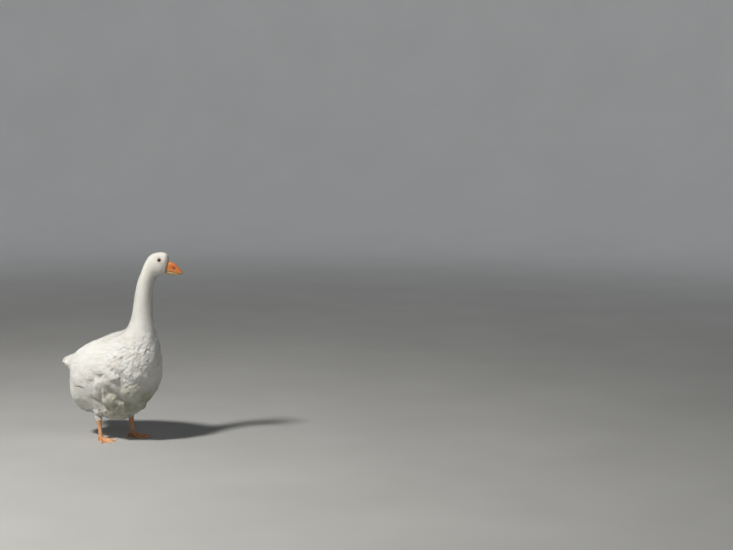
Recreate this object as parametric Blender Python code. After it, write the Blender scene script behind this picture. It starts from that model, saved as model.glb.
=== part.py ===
"""A white domestic goose standing with its head turned a little to the left, life size, in metres.

+X is the way the body faces, +Y is its left and +Z is up. The floor is z = 0 and the origin lies on it,
below the middle of the bird's box. The body is one lofted form from tail tip to face, parted into tail,
trunk, neck and head by thin flat cuts. The wings lie on the trunk as curved shells of its own surface.
"""

import math
from collections import namedtuple

import bpy
import bmesh
import numpy as np
from mathutils import Matrix, Vector

GAP = 0.0003              # clearance between neighbouring pieces
SIDES = 30                # points round the body
BOX_MIDDLE_X = 0.008      # the middle of the bird's length, from where the sizes below are counted
NECK_AXIS_X = 0.176       # the upright line that the neck and head turn about
HEAD_TURN = math.radians(30.0)

STANCE = 0.075            # each foot's distance from the body's middle plane
FOOT_X = {"right": -0.018, "left": 0.022}
SIDE_SIGN = {"left": 1.0, "right": -1.0}
TOE_OUT = math.radians(8.0)

SHANK_FOOT_Z = 0.0170     # the shank's lower end, on the foot's mound
HOCK_Z = 0.1040           # the feathered thigh ends here
HOCK_BACK = 0.014         # the hock stands this far behind the toes' joint

EYE_RADIUS = 0.0088
EYE_PROUD = 0.0020        # how far the ball stands out of the head's side
EYE_X = 0.2555            # the eye's place in the head's middle plane
EYE_Z = 0.7885
EYE_SIDE = 0.0328         # half the head's width there

# One cross-section of the body: its top and bottom points (x, z) in the middle plane, half its width,
# how full its upper and lower halves are (2 is an ellipse), and the depth of the groove under it.
Section = namedtuple("Section", "name top bottom half_width full_top full_bottom cleft")

BODY = [
    Section("tail_tip", (-0.314, 0.3165), (-0.312, 0.3110), 0.020, 2.6, 2.6, 0.0),
    Section("tail_fan", (-0.288, 0.3240), (-0.285, 0.302), 0.045, 2.4, 2.2, 0.0),
    Section("tail_root", (-0.258, 0.3350), (-0.234, 0.271), 0.058, 2.2, 2.0, 0.0),
    Section("vent", (-0.227, 0.3500), (-0.199, 0.216), 0.063, 2.0, 2.0, 0.0),
    Section("paunch_back", (-0.190, 0.3725), (-0.204, 0.143), 0.087, 2.0, 2.2, 0.010),
    Section("paunch", (-0.138, 0.4030), (-0.158, 0.100), 0.117, 2.0, 2.2, 0.014),
    Section("loin", (-0.075, 0.4335), (-0.082, 0.096), 0.132, 2.0, 1.9, 0.006),
    Section("belly", (-0.010, 0.459), (0.010, 0.080), 0.139, 2.0, 1.9, 0.0),
    Section("keel", (0.040, 0.473), (0.095, 0.110), 0.137, 2.0, 2.0, 0.0),
    Section("breast", (0.073, 0.481), (0.170, 0.177), 0.126, 2.0, 2.1, 0.0),
    Section("crop", (0.094, 0.491), (0.222, 0.262), 0.107, 2.0, 2.1, 0.0),
    Section("shoulder", (0.108, 0.507), (0.240, 0.350), 0.084, 2.0, 2.0, 0.0),
    Section("neck_root", (0.119, 0.531), (0.236, 0.430), 0.061, 2.0, 2.0, 0.0),
    Section("neck_low", (0.129, 0.563), (0.223, 0.502), 0.047, 2.0, 2.0, 0.0),
    Section("neck_mid", (0.137, 0.608), (0.215, 0.572), 0.041, 2.0, 2.0, 0.0),
    Section("neck_high", (0.145, 0.656), (0.216, 0.632), 0.038, 2.0, 2.0, 0.0),
    Section("nape", (0.157, 0.702), (0.221, 0.674), 0.036, 2.0, 2.0, 0.0),
    Section("throat", (0.172, 0.738), (0.230, 0.702), 0.035, 2.0, 2.0, 0.0),
    Section("occiput", (0.1860, 0.7735), (0.242, 0.7165), 0.0350, 2.0, 2.0, 0.0),
    Section("cheek", (0.2080, 0.8050), (0.253, 0.7205), 0.0350, 2.0, 2.1, 0.0),
    Section("crown", (0.2370, 0.8178), (0.264, 0.7225), 0.0338, 2.0, 2.2, 0.0),
    Section("brow", (0.2655, 0.8195), (0.270, 0.7245), 0.0302, 2.0, 2.2, 0.0),
    Section("forehead", (0.2845, 0.8095), (0.2745, 0.7265), 0.0242, 2.1, 2.2, 0.0),
    Section("face", (0.2900, 0.7870), (0.277, 0.729), 0.0180, 2.2, 2.2, 0.0),
]
STATION = {section.name: index for index, section in enumerate(BODY)}

# The lines where the body is parted, between two sections.
TAIL_CUT = STATION["tail_root"] + 0.15
NECK_CUT = STATION["shoulder"] + 0.35
HEAD_CUT = STATION["nape"] + 0.55

# The folded wing on the body's surface, from wrist to tip: the station along the body, the angle
# down from the back's ridge to its upper and lower edge, and its thickness.
WingLine = namedtuple("WingLine", "station top_deg bottom_deg thick")
WING = [
    WingLine(STATION["shoulder"] - 0.55, 68.0, 80.0, 0.0030),
    WingLine(STATION["crop"] - 0.25, 47.0, 97.0, 0.0100),
    WingLine(STATION["breast"] - 0.30, 36.0, 106.0, 0.0140),
    WingLine(STATION["belly"], 24.0, 108.0, 0.0150),
    WingLine(STATION["loin"], 17.0, 104.0, 0.0130),
    WingLine(STATION["paunch"], 12.0, 94.0, 0.0105),
    WingLine(STATION["paunch_back"], 8.5, 82.0, 0.0082),
    WingLine(STATION["vent"], 6.0, 68.0, 0.0060),
    WingLine(STATION["tail_root"], 5.0, 46.0, 0.0042),
    WingLine(STATION["tail_fan"] + 0.15, 9.0, 22.0, 0.0030),
]
WING_GAP = 0.0014         # the shell's inner face clears the trunk's facets
WING_EDGE = 0.0012        # thickness left along the wing's rim
WING_STEPS = 20
WING_STRIPS = 9

WHITE_FEATHER = ((0.86, 0.85, 0.82), 0.75)
ORANGE_HORN = ((0.80, 0.30, 0.08), 0.40)
PALE_HORN = ((0.80, 0.52, 0.32), 0.42)
ORANGE_SKIN = ((0.74, 0.33, 0.14), 0.55)
DARK_EYE = ((0.03, 0.04, 0.06), 0.08)


def clear_scene():
    for obj in list(bpy.data.objects):
        bpy.data.objects.remove(obj)


def material(name, look):
    colour, roughness = look
    made = bpy.data.materials.new(name)
    made.use_nodes = True
    shader = made.node_tree.nodes["Principled BSDF"]
    shader.inputs["Base Color"].default_value = (*colour, 1.0)
    shader.inputs["Roughness"].default_value = roughness
    shader.inputs["Metallic"].default_value = 0.0
    made.diffuse_color = (*colour, 1.0)
    return made


def blend(points, t):
    """The value at t of a smooth curve that passes through points at t = 0, 1, 2 and so on."""
    last = len(points) - 1
    i = min(int(t), last - 1)
    f = t - i
    p1, p2 = points[i], points[i + 1]
    p0 = points[i - 1] if i > 0 else 2 * p1 - p2
    p3 = points[i + 2] if i + 2 <= last else 2 * p2 - p1
    slope_1, slope_2 = (p2 - p0) / 2, (p3 - p1) / 2
    return (
        (2 * f**3 - 3 * f**2 + 1) * p1
        + (f**3 - 2 * f**2 + f) * slope_1
        + (3 * f**2 - 2 * f**3) * p2
        + (f**3 - f**2) * slope_2
    )


BODY_VALUES = [
    np.array([*s.top, *s.bottom, s.half_width, s.full_top, s.full_bottom, s.cleft]) for s in BODY
]


def turn_at(station):
    """How far the neck has turned at a station: none at its root, all of it from the nape up."""
    start, end = STATION["neck_root"], STATION["throat"]
    f = min(max((station - start) / (end - start), 0.0), 1.0)
    return HEAD_TURN * f * f * (3 - 2 * f)


def body_point(station, angle, side=1.0, proud=0.0):
    """A point on the body's surface. The angle runs from 0 on the back's ridge to pi under the belly."""
    top_x, top_z, low_x, low_z, half_width, full_top, full_bottom, cleft = blend(BODY_VALUES, station)
    upward = math.cos(angle)
    outward = math.sin(angle)
    full = full_top if upward > 0 else full_bottom
    power = 2.0 / full
    rise = math.copysign(abs(upward) ** power, upward)
    half_height = math.hypot(top_x - low_x, top_z - low_z) / 2
    spread = abs(outward) ** power
    reach = 1.0 + proud / max(half_height, 1e-6)
    widen = half_width + proud
    x = (top_x + low_x) / 2 + (top_x - low_x) / 2 * rise * reach
    z = (top_z + low_z) / 2 + (top_z - low_z) / 2 * rise * reach
    y = side * widen * spread
    if upward < 0:
        z += cleft * math.exp(-((y / 0.022) ** 2)) * abs(upward)
    spun = Matrix.Rotation(turn_at(station), 3, "Z") @ Vector((x - NECK_AXIS_X, y, 0.0))
    return Vector((spun.x + NECK_AXIS_X, spun.y, z))


def body_ring(station):
    ring = []
    for k in range(SIDES):
        angle = 2 * math.pi * k / SIDES
        side = 1.0 if angle <= math.pi else -1.0
        folded = angle if angle <= math.pi else 2 * math.pi - angle
        ring.append(body_point(station, folded, side))
    return ring


def closed_loft(name, rings, look, smooth=True):
    """One closed solid through rings of equal count, with a middle point in each end face."""
    mesh = bpy.data.meshes.new(name)
    shape = bmesh.new()
    rows = [[shape.verts.new(point) for point in ring] for ring in rings]
    for row, following in zip(rows, rows[1:]):
        count = len(row)
        for k in range(count):
            n = (k + 1) % count
            shape.faces.new((row[k], row[n], following[n], following[k]))
    for row in (rows[0], rows[-1]):
        middle = shape.verts.new(sum((v.co for v in row), Vector()) / len(row))
        for k in range(len(row)):
            shape.faces.new((row[(k + 1) % len(row)], row[k], middle))
    bmesh.ops.recalc_face_normals(shape, faces=shape.faces)
    bmesh.ops.triangulate(shape, faces=shape.faces)
    shape.to_mesh(mesh)
    shape.free()
    return add_object(name, mesh, look, smooth)


def add_object(name, mesh, look, smooth=True):
    obj = bpy.data.objects.new(name, mesh)
    bpy.context.scene.collection.objects.link(obj)
    mesh.materials.append(look)
    if smooth:
        mesh.shade_smooth()
        mesh.set_sharp_from_angle(angle=math.radians(50.0))
    return obj


def stations(start, end, count):
    return [start + (end - start) * k / count for k in range(count + 1)]


def cut_pair(cut):
    """The stations just before and after a cut, one gap apart where the sections are closest."""
    reach = 0.05
    before, after = blend(BODY_VALUES, cut - reach), blend(BODY_VALUES, cut + reach)
    top_move, low_move = np.hypot(*(after - before)[:2]), np.hypot(*(after - before)[2:4])
    half_step = 1.25 * GAP / (min(top_move, low_move) / (2 * reach)) / 2
    return cut - half_step, cut + half_step


def inflated(obj, name, distance):
    """A hidden copy of a solid, grown by a distance, to cut its neighbours back from it."""
    mesh = obj.data.copy()
    copy = bpy.data.objects.new(name, mesh)
    bpy.context.scene.collection.objects.link(copy)
    normals = [v.normal.copy() for v in mesh.vertices]
    for vertex, normal in zip(mesh.vertices, normals):
        vertex.co += normal * distance
    copy.hide_render = True
    copy.display_type = "WIRE"
    return copy


def cut(obj, cutter):
    boolean = obj.modifiers.new("cut_" + cutter.name, "BOOLEAN")
    boolean.operation = "DIFFERENCE"
    boolean.solver = "EXACT"
    boolean.object = cutter


def build_body(look):
    tail_end, trunk_start = cut_pair(TAIL_CUT)
    trunk_end, neck_start = cut_pair(NECK_CUT)
    neck_end, head_start = cut_pair(HEAD_CUT)
    spans = {
        "tail": (0.0, tail_end, 6),
        "trunk": (trunk_start, trunk_end, 23),
        "neck": (neck_start, neck_end, 11),
        "head": (head_start, float(len(BODY) - 1), 15),
    }
    made = {}
    for name, (start, end, count) in spans.items():
        rings = [body_ring(station) for station in stations(start, end, count)]
        made[name] = closed_loft(name, rings, look)
    return made


def wing_value(values, u):
    return float(blend([np.array(v, dtype=float) for v in values], u * (len(values) - 1)))


def build_wing(side, look):
    """A shell on the trunk's surface: thickest in the middle of its width, thin at its rim."""
    sign = SIDE_SIGN[side]
    mesh = bpy.data.meshes.new("wing_" + side)
    shape = bmesh.new()
    inner, outer = [], []
    for i in range(WING_STEPS + 1):
        u = i / WING_STEPS
        station = wing_value([w.station for w in WING], u)
        high = math.radians(wing_value([w.top_deg for w in WING], u))
        low = math.radians(wing_value([w.bottom_deg for w in WING], u))
        thick = wing_value([w.thick for w in WING], u)
        inner_row, outer_row = [], []
        for j in range(WING_STRIPS + 1):
            v = j / WING_STRIPS
            angle = high + (low - high) * v
            crown = math.sin(math.pi * v) ** 0.6 if 0 < j < WING_STRIPS else 0.0
            swell = max(WING_EDGE, thick * crown)
            inner_row.append(shape.verts.new(body_point(station, angle, sign, WING_GAP)))
            outer_row.append(shape.verts.new(body_point(station, angle, sign, WING_GAP + swell)))
        inner.append(inner_row)
        outer.append(outer_row)
    for rows in (inner, outer):
        for row, following in zip(rows, rows[1:]):
            for j in range(WING_STRIPS):
                shape.faces.new((row[j], row[j + 1], following[j + 1], following[j]))
    for near, far in ((inner[0], outer[0]), (inner[-1], outer[-1])):
        for j in range(WING_STRIPS):
            shape.faces.new((near[j], near[j + 1], far[j + 1], far[j]))
    for edge in (0, WING_STRIPS):
        for i in range(WING_STEPS):
            corners = (inner[i][edge], inner[i + 1][edge], outer[i + 1][edge], outer[i][edge])
            shape.faces.new(corners)
    bmesh.ops.recalc_face_normals(shape, faces=shape.faces)
    bmesh.ops.triangulate(shape, faces=shape.faces)
    shape.to_mesh(mesh)
    shape.free()
    return add_object("wing_" + side, mesh, look)


# The bill, in the head's own middle plane: the upper half's ridge and the line of its cutting edge,
# the lower half's keel, and half the width, from the face to the nail at the tip.
BillStep = namedtuple("BillStep", "ridge edge keel half_width")
BILL = [
    BillStep((0.2888, 0.7815), (0.2804, 0.7440), (0.2773, 0.7300), 0.0150),
    BillStep((0.3030, 0.7795), (0.2920, 0.7415), (0.2890, 0.7270), 0.0147),
    BillStep((0.3170, 0.7720), (0.3060, 0.7385), (0.3030, 0.7252), 0.0141),
    BillStep((0.3295, 0.7605), (0.3190, 0.7355), (0.3170, 0.7245), 0.0133),
    BillStep((0.3400, 0.7485), (0.3310, 0.7330), (0.3290, 0.7242), 0.0122),
    BillStep((0.3475, 0.7380), (0.3410, 0.7302), (0.3370, 0.7247), 0.0096),
    BillStep((0.3520, 0.7290), (0.3485, 0.7265), (0.3410, 0.7252), 0.0048),
]
BILL_SIDES = 14
LOWER_STEPS = 5           # the lower half stops short of the nail


def head_space(x, y, z):
    """A point given in the head's own middle plane, turned with the head."""
    spun = Matrix.Rotation(HEAD_TURN, 3, "Z") @ Vector((x - NECK_AXIS_X, y, 0.0))
    return Vector((spun.x + NECK_AXIS_X, spun.y, z))


def half_bill_ring(top, bottom, half_width, roof):
    """A closed ring: an arch over (roof = 1) or under (roof = -1) the flat line of the cutting edge."""
    ring = []
    for k in range(BILL_SIDES):
        angle = 2 * math.pi * k / BILL_SIDES
        upward = math.cos(angle)
        outward = math.sin(angle)
        share = upward**0.9 if upward > 0 else -0.02 * abs(upward)
        width = half_width * math.copysign(abs(outward) ** 0.8, outward)
        x = bottom[0] + (top[0] - bottom[0]) * share
        z = bottom[1] + (top[1] - bottom[1]) * share
        ring.append(head_space(x, width * (1.0 if roof > 0 else 0.86), z))
    return ring


def build_bill(upper_look, lower_look):
    fine = 10
    steps = [np.array([*b.ridge, *b.edge, *b.keel, b.half_width]) for b in BILL]
    upper, lower = [], []
    for k in range(fine + 1):
        ridge_x, ridge_z, edge_x, edge_z, _, _, half = blend(steps, k / fine * (len(BILL) - 1))
        lift = 0.0012
        upper.append(
            half_bill_ring((ridge_x + 2 * GAP, ridge_z), (edge_x + 3 * GAP, edge_z + lift), half, 1)
        )
    for k in range(fine + 1):
        _, _, edge_x, edge_z, keel_x, keel_z, half = blend(steps, k / fine * LOWER_STEPS)
        drop = 0.0012
        lower.append(
            half_bill_ring((keel_x + 2 * GAP, keel_z), (edge_x + 2 * GAP, edge_z - drop), half, -1)
        )
    return [
        closed_loft("bill_upper", upper, upper_look),
        closed_loft("bill_lower", lower, lower_look),
    ]


def build_eye(side, head, look):
    """A ball set in the head so that only its front stands out, in a socket one gap wider."""
    sign = SIDE_SIGN[side]
    centre = head_space(EYE_X, sign * (EYE_SIDE + EYE_PROUD - EYE_RADIUS), EYE_Z)
    for name, radius in (("eye_" + side, EYE_RADIUS), ("socket_" + side, EYE_RADIUS + 2 * GAP)):
        mesh = bpy.data.meshes.new(name)
        shape = bmesh.new()
        bmesh.ops.create_uvsphere(shape, u_segments=16, v_segments=10, radius=radius)
        bmesh.ops.triangulate(shape, faces=shape.faces)
        bmesh.ops.rotate(shape, verts=shape.verts, matrix=Matrix.Rotation(math.pi / 2, 3, "X"))
        bmesh.ops.translate(shape, verts=shape.verts, vec=centre)
        shape.to_mesh(mesh)
        shape.free()
        made = add_object(name, mesh, look)
    made.hide_render = True
    made.display_type = "WIRE"
    cut(head, made)


def leg_ring(centre, half_long, half_wide, count):
    return [
        Vector((
            centre[0] + half_long * math.cos(2 * math.pi * k / count),
            centre[1] + half_wide * math.sin(2 * math.pi * k / count),
            centre[2],
        ))
        for k in range(count)
    ]


def build_shank(side, look):
    """The bare tarsus: knobbed at the hock, slim in its middle and thicker again at the toes."""
    toe_x, y = FOOT_X[side], SIDE_SIGN[side] * STANCE
    rings = []
    count = 10
    for k in range(count + 1):
        f = k / count
        z = SHANK_FOOT_Z + (HOCK_Z - GAP - SHANK_FOOT_Z) * f
        knob = math.exp(-(((f - 0.93) / 0.34) ** 2))
        foot_end = math.exp(-((f / 0.16) ** 2))
        half_long = 0.0090 + 0.0044 * knob + 0.0008 * foot_end
        half_wide = 0.0074 + 0.0046 * knob + 0.0014 * foot_end
        rings.append(leg_ring((toe_x - HOCK_BACK * f, y, z), half_long, half_wide, 14))
    return closed_loft("shank_" + side, rings, look)


def build_thigh(side, look, trunk_cutter):
    """The feathered lower thigh: a cone down from the flank that ends in a soft puff over the hock."""
    sign = SIDE_SIGN[side]
    hock = Vector((FOOT_X[side] - HOCK_BACK, sign * STANCE, HOCK_Z))
    knee = Vector((FOOT_X[side] + 0.020, sign * (STANCE + 0.010), 0.225))
    rings = []
    count = 14
    for k in range(count + 1):
        f = k / count
        puff = math.exp(-(((f - 0.13) / 0.10) ** 2))
        half = 0.0110 + 0.0085 * puff + 0.040 * max(f - 0.12, 0.0) ** 0.8
        centre = hock.lerp(knee, f)
        rings.append(leg_ring(centre, half * 1.05, half, 20))
    thigh = closed_loft("thigh_" + side, rings, look)
    cut(thigh, trunk_cutter)
    return thigh


# The foot: three long toes joined by web, a short hind toe, all flat on the floor.
Toe = namedtuple("Toe", "name angle_deg length half_width height")
TOES = [
    Toe("outer", -33.0, 0.078, 0.0054, 0.0105),
    Toe("middle", 0.0, 0.090, 0.0057, 0.0115),
    Toe("inner", 31.0, 0.072, 0.0054, 0.0105),
    Toe("hind", 158.0, 0.026, 0.0040, 0.0075),
]
HEEL_RADIUS = 0.0125
WEB_THICK = 0.0032
CLAW = 0.007              # the part of each toe's length that is claw
MOUND_RADIUS = 0.0105


def toe_offset(toe, angle):
    """The signed turn in radians from a toe's line to an angle, between -pi and pi."""
    return (angle - math.radians(toe.angle_deg) + math.pi) % (2 * math.pi) - math.pi


def foot_reach(angle):
    """How far the sole reaches from the toes' joint in a direction: toes, web between them, heel."""
    front = TOES[:3]
    reach = HEEL_RADIUS
    for left, right in zip(front, front[1:]):
        a, b = math.radians(left.angle_deg), math.radians(right.angle_deg)
        if a <= angle <= b:
            f = (angle - a) / (b - a)
            straight = (left.length * (1 - f) + right.length * f) - CLAW
            reach = max(reach, straight * (1 - 0.13 * math.sin(math.pi * f)))
    for toe in TOES:
        turn = toe_offset(toe, angle)
        if abs(turn) < math.pi / 2:
            half = toe.half_width
            across = abs(math.sin(turn))
            if across * toe.length < 2.2 * half:
                share = across * toe.length / (2.2 * half)
                reach = max(reach, toe.length * (1 - share**2) + HEEL_RADIUS * share**2)
    return reach


def foot_height(radius, angle, reach):
    """The height of the foot's upper side: toes as rounded ridges on the web, a mound at the ankle."""
    height = WEB_THICK * (1.0 - 0.35 * min(radius / 0.09, 1.0))
    for toe in TOES:
        turn = toe_offset(toe, angle)
        if abs(turn) < math.pi / 2:
            across = abs(radius * math.sin(turn)) / (toe.half_width * 1.25)
            along = radius * math.cos(turn) / toe.length
            taper = 1.0 - 0.45 * min(along, 1.0) ** 2
            height = max(height, toe.height * taper * math.exp(-(across**2)))
    mound = SHANK_FOOT_Z - GAP
    slope = max(radius - MOUND_RADIUS, 0.0) / 0.011
    return max(height, mound * math.exp(-(slope**2)))


def build_foot(side, look):
    sign = SIDE_SIGN[side]
    spokes, radii = 54, (0.0, 0.12, 0.26, 0.46, 0.70, 0.90, 1.0)
    mesh = bpy.data.meshes.new("foot_" + side)
    shape = bmesh.new()
    place = Matrix.Translation((FOOT_X[side], sign * STANCE, 0.0)) @ Matrix.Rotation(
        sign * TOE_OUT, 4, "Z"
    )
    mound = SHANK_FOOT_Z - GAP
    top_middle = shape.verts.new(place @ Vector((0.0, 0.0, mound)))
    low_middle = shape.verts.new(place @ Vector((0.0, 0.0, 0.0)))
    rows = []
    floor_row = []
    for k in range(spokes):
        angle = spoke_angle(k, spokes)
        reach = foot_reach(angle)
        outward = Vector((math.cos(angle), -sign * math.sin(angle), 0.0))
        row = [top_middle]
        for share in radii[1:]:
            radius = MOUND_RADIUS * 0.8 + (reach - MOUND_RADIUS * 0.8) * (share - radii[1]) / (
                1.0 - radii[1]
            )
            height = foot_height(radius, angle, reach)
            if share == 1.0:
                height = min(height, WEB_THICK) * 0.5
            row.append(shape.verts.new(place @ (outward * radius + Vector((0, 0, height)))))
        rows.append(row)
        floor_row.append(shape.verts.new(place @ (outward * (reach - 0.0004))))
    for k in range(spokes):
        row, following = rows[k], rows[(k + 1) % spokes]
        shape.faces.new((top_middle, row[1], following[1]))
        for j in range(1, len(radii) - 1):
            shape.faces.new((row[j], row[j + 1], following[j + 1], following[j]))
        near, far = floor_row[k], floor_row[(k + 1) % spokes]
        shape.faces.new((row[-1], near, far, following[-1]))
        shape.faces.new((near, low_middle, far))
    bmesh.ops.recalc_face_normals(shape, faces=shape.faces)
    bmesh.ops.triangulate(shape, faces=shape.faces)
    shape.to_mesh(mesh)
    shape.free()
    return add_object("foot_" + side, mesh, look)


def spoke_angle(k, spokes):
    """Spokes from -pi to pi, drawn together over the front toes where the outline is busy."""
    even = -math.pi + 2 * math.pi * k / spokes
    return even - 0.55 * math.sin(even) + 0.06 * math.sin(2 * even)


def parent_all_to(anchor):
    for obj in bpy.data.objects:
        if obj is not anchor:
            obj.parent = anchor


def main():
    clear_scene()
    feather = material("white_feather", WHITE_FEATHER)
    upper_horn = material("orange_horn", ORANGE_HORN)
    lower_horn = material("pale_horn", PALE_HORN)
    bare_skin = material("orange_skin", ORANGE_SKIN)
    eye = material("dark_eye", DARK_EYE)
    body = build_body(feather)
    trunk_cutter = inflated(body["trunk"], "trunk_clearance", 2 * GAP)
    build_bill(upper_horn, lower_horn)
    for side in ("right", "left"):
        build_wing(side, feather)
        build_eye(side, body["head"], eye)
        build_thigh(side, feather, trunk_cutter)
        build_shank(side, bare_skin)
        build_foot(side, bare_skin)
    goose = bpy.data.objects.new("goose", None)
    bpy.context.scene.collection.objects.link(goose)
    goose.location.x = -BOX_MIDDLE_X
    parent_all_to(goose)


main()
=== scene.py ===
"""The looks of the standing white goose: one skin, its coat of feather vanes, bill, eyes, lids and claws.

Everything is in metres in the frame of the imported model: +X is the way the body faces, +Y its left,
+Z up, and the floor is z = 0. Each feather is a thin closed vane laid on the skin along the lie of the
coat. All random choices are seeded.
"""

from math import cos, pi, radians, sin, sqrt

import bmesh
import bpy
import numpy as np
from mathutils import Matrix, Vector
from mathutils.bvhtree import BVHTree
from mathutils.kdtree import KDTree
from numpy.linalg import norm


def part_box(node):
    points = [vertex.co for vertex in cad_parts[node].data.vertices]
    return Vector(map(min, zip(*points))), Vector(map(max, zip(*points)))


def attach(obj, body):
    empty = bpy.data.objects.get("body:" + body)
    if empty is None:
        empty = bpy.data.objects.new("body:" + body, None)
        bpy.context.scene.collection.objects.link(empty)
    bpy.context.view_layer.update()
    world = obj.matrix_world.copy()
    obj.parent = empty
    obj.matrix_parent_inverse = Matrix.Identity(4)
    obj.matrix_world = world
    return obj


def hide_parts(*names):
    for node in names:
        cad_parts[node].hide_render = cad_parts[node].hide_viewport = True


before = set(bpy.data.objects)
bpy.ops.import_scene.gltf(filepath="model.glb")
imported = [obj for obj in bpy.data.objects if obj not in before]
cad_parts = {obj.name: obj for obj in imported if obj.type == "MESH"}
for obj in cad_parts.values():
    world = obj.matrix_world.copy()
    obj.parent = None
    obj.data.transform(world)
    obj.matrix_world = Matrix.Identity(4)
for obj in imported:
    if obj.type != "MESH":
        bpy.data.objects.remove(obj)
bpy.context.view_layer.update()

UP = np.array([0.0, 0.0, 1.0])
SIDE_SIGN = {"left": 1.0, "right": -1.0}
FLESH = (
    "trunk", "neck", "head", "tail", "wing_left", "wing_right", "thigh_left", "thigh_right",
    "shank_left", "shank_right", "foot_left", "foot_right",
)
HEAD_TURN = radians(30.0)
NECK_X = 0.168            # the neck and head turn about the upright line here, on the middle plane
HEAD_FLOOR = 0.7          # everything above this height is head or the top of the neck
STANCE = 0.075            # how far each leg stands from the middle plane
TOE_OUT = radians(8.0)
FOOT_X = {"right": -0.026, "left": 0.014}
BARE_TOP = 0.101          # legs are bare below this height

# The body's centre line from tail tip to face: x and z before the neck's turn, and the share of it.
SPINE = np.array([
    (-0.321, 0.315, 0.0), (-0.254, 0.3085, 0.0), (-0.221, 0.2885, 0.0), (-0.196, 0.266, 0.0),
    (-0.150, 0.256, 0.0), (-0.0865, 0.264, 0.0), (-0.008, 0.2695, 0.0), (0.0595, 0.2915, 0.0),
    (0.1135, 0.329, 0.0), (0.150, 0.3765, 0.0), (0.166, 0.4285, 0.0), (0.1695, 0.4805, 0.0),
    (0.168, 0.5325, 0.104), (0.168, 0.590, 0.352), (0.1725, 0.644, 0.648), (0.181, 0.688, 0.896),
    (0.193, 0.720, 1.0), (0.2085, 0.743, 1.0), (0.226, 0.760, 1.0), (0.245, 0.769, 1.0),
    (0.260, 0.772, 1.0), (0.275, 0.760, 1.0),
])
SPREAD = 0.03             # how far along the centre line a point's lie is blended


# ---- numbers and fields

def smooth(low, high, x):
    """A soft step from 0 at low to 1 at high; low may be the larger."""
    f = np.clip((x - low) / (high - low), 0.0, 1.0)
    return f * f * (3 - 2 * f)


def bump_at(x, centre, width):
    return np.exp(-(((x - centre) / width) ** 2))


def unit(v):
    return v / np.maximum(norm(v, axis=-1, keepdims=True), 1e-12)


def flat_on(normals, ways):
    """Ways turned to lie flat on the surface with these normals."""
    return unit(ways - (ways * normals).sum(-1, keepdims=True) * normals)


def rotated(x, y, angle):
    c, s = np.cos(angle), np.sin(angle)
    return x * c - y * s, x * s + y * c


def waves(points, size, seed):
    """A smooth random field of about -1 to 1, with lumps about size across."""
    count = 14
    draw = np.random.default_rng(seed)
    ways = unit(draw.normal(size=(count, 3)))
    ways = ways * (pi / size * draw.uniform(0.7, 1.3, count))[:, None]
    total = np.sin(points @ ways.T + draw.uniform(0, 2 * pi, count)).sum(1)
    return total / sqrt(count / 2) / 1.5


def creases(points, size, seed, sharp):
    """1 along the folds between soft lobes about size across, 0 on the lobes."""
    return bump_at(waves(points, size, seed), 0, sharp)


def make_spine(count=160):
    """Even points of the centre line, at each the ways to the tail and to the left, and its share."""
    dx, dy = rotated(SPINE[:, 0] - NECK_X, 0.0, HEAD_TURN * SPINE[:, 2])
    rough = np.stack([NECK_X + dx, dy, SPINE[:, 1]], 1)
    along = np.concatenate([[0], np.cumsum(norm(np.diff(rough, axis=0), axis=1))])
    even = np.linspace(0, along[-1], count)
    line = np.stack([np.interp(even, along, values) for values in rough.T], 1)
    for _ in range(12):
        line[1:-1] = 0.5 * line[1:-1] + 0.25 * (line[:-2] + line[2:])
    turn = HEAD_TURN * np.interp(even, along, SPINE[:, 2])
    left = np.stack([-np.sin(turn), np.cos(turn), np.zeros(count)], 1)
    return line, -unit(np.gradient(line, axis=0)), left, even / along[-1]


SPINE_LINE, SPINE_BACK, SPINE_LEFT, SPINE_SHARE = make_spine()


def spine_weights(points):
    """Each point's weights on the centre line's points, and the nearest of these."""
    gaps = ((points[:, None, :] - SPINE_LINE[None]) ** 2).sum(2)
    weights = np.exp(-(gaps - gaps.min(1, keepdims=True)) / (2 * SPREAD**2))
    return weights / weights.sum(1, keepdims=True), gaps.argmin(1)


def lie(points):
    """The way the coat lies before it is laid on the surface: towards the tail, and down the thighs."""
    x, y, z = points.T
    thigh = smooth(0.175, 0.125, z) * smooth(0.045, 0.06, np.abs(y)) \
        * smooth(-0.085, -0.065, x) * smooth(0.065, 0.045, x)
    down = np.array([-0.25, 0.0, -1.0])
    return unit(spine_weights(points)[0] @ SPINE_BACK * (1 - thigh)[:, None] + down * thigh[:, None])


def unwrap(points):
    """Each point's place on a flat map of the skin: its turn round the centre line, and its share of it."""
    nearest = spine_weights(points)[1]
    out = points - SPINE_LINE[nearest]
    left = SPINE_LEFT[nearest]
    up = np.cross(SPINE_BACK[nearest], left)
    turn = np.arctan2((out * left).sum(1), (out * up).sum(1)) / (2 * pi) + 0.5
    return np.stack([turn, SPINE_SHARE[nearest]], 1)


# ---- meshes

def linked(name, data):
    obj = bpy.data.objects.new(name, data)
    bpy.context.scene.collection.objects.link(obj)
    return obj


def mesh_object(name, points, faces, look=None):
    mesh = bpy.data.meshes.new(name)
    mesh.from_pydata(points, [], faces)
    mesh.shade_smooth()
    if look:
        mesh.materials.append(look)
    return linked(name, mesh)


def tube_faces(rows, around, closed=False):
    """Quads between equal rings joined in a row. A closed tube also joins its last ring to its first."""
    here = np.arange(rows * around).reshape(rows, around)
    step = np.roll(here, -1, 1)
    quads = np.stack([here, step, np.roll(step, -1, 0), np.roll(here, -1, 0)], -1)
    return quads[:rows if closed else -1].reshape(-1, 4)


def read(items, field, width, kind=np.float32):
    flat = np.empty(len(items) * width, kind)
    items.foreach_get(field, flat)
    return flat.reshape(-1, width)


def points_of(mesh):
    return read(mesh.vertices, "co", 3).astype(float)


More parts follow.
